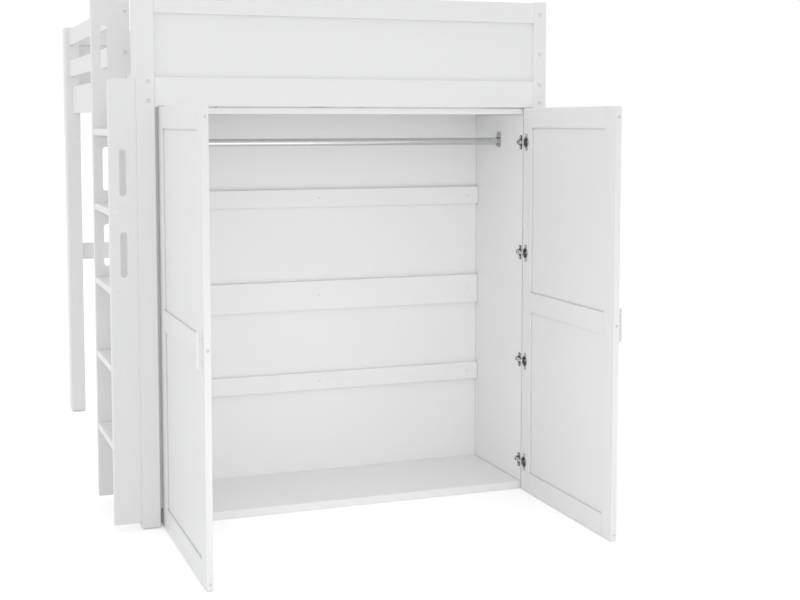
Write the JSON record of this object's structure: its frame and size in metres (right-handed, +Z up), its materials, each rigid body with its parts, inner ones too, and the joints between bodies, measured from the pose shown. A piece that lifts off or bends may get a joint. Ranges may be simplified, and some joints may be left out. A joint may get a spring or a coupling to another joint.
{
  "type": "loft bed",
  "caption": "Loft bed on four posts over an open-fronted wardrobe with two hinged doors, a hanging rod and an end ladder.",
  "frame": {"origin": "on the floor, under the middle of the part's box with the doors open", "axes": "+X across the bed from the ladder side to the other side, +Y along the bed from the open doors to the far end, +Z up"},
  "size_m": [1.549, 2.648, 1.76],
  "materials": {
    "white_paint": "satin white paint",
    "white_cover": "white lacquered covers on the bolts",
    "bare_pine": "pale bare pine",
    "chrome": "bright chrome plate",
    "hinge_steel": "nickel-plated pressed steel",
    "zinc_steel": "zinc-plated steel"
  },
  "bodies": {
    "bed": {"front_left_post": "white_paint", "front_right_post": "white_paint", "rear_left_post": "white_paint", "rear_right_post": "white_paint", "front_top_rail": "white_paint", "front_guard_panel": "white_paint", "front_lower_rail": "white_paint", "rear_top_rail": "white_paint", "rear_guard_panel": "white_paint", "rear_lower_rail": "white_paint", "left_side_rail": "white_paint", "right_side_rail": "white_paint", "left_low_guard_rail": "white_paint", "left_top_guard_rail": "white_paint", "right_low_guard_rail": "white_paint", "right_top_guard_rail": "white_paint", "slat_cleats": "bare_pine", "slats": "bare_pine", "centre_beam": "bare_pine", "beam_hangers": "hinge_steel", "rear_stretcher": "white_paint", "bed_bolts": "white_cover", "ladder_front_stile": "white_paint", "ladder_rear_board": "white_paint", "ladder_treads": "white_paint", "ladder_screws": "zinc_steel", "wardrobe_right_wall": "white_paint", "wardrobe_left_wall": "white_paint", "wardrobe_top": "white_paint", "wardrobe_base": "white_paint", "wardrobe_back": "white_paint", "lower_back_batten": "white_paint", "middle_back_batten": "white_paint", "upper_back_batten": "white_paint", "wardrobe_spacers": "white_paint", "hanging_rod": "chrome", "rod_sockets": "chrome", "hinge_plates": "hinge_steel", "hinge_arms": "hinge_steel", "wardrobe_screws": "zinc_steel"},
    "right_door": {"right_door_hinge_stile": "white_paint", "right_door_free_stile": "white_paint", "right_door_top_rail": "white_paint", "right_door_middle_rail": "white_paint", "right_door_bottom_rail": "white_paint", "right_door_upper_panel": "white_paint", "right_door_lower_panel": "white_paint", "right_door_handle": "white_paint", "right_door_hinge_cups": "hinge_steel", "right_door_screws": "zinc_steel"},
    "left_door": {"left_door_hinge_stile": "white_paint", "left_door_free_stile": "white_paint", "left_door_top_rail": "white_paint", "left_door_middle_rail": "white_paint", "left_door_bottom_rail": "white_paint", "left_door_upper_panel": "white_paint", "left_door_lower_panel": "white_paint", "left_door_handle": "white_paint", "left_door_hinge_cups": "hinge_steel", "left_door_screws": "zinc_steel"}
  },
  "joints": [
    {"name": "right_door_hinge", "type": "hinge", "parent": "bed", "child": "right_door", "pos_m": [0.706, -0.6705, 0.6951], "axis": [0, 0, 1], "range_deg": [-90, 5]},
    {"name": "left_door_hinge", "type": "hinge", "parent": "bed", "child": "left_door", "pos_m": [-0.604, -0.6705, 0.6951], "axis": [0, 0, -1], "range_deg": [-90, 5]}
  ]
}
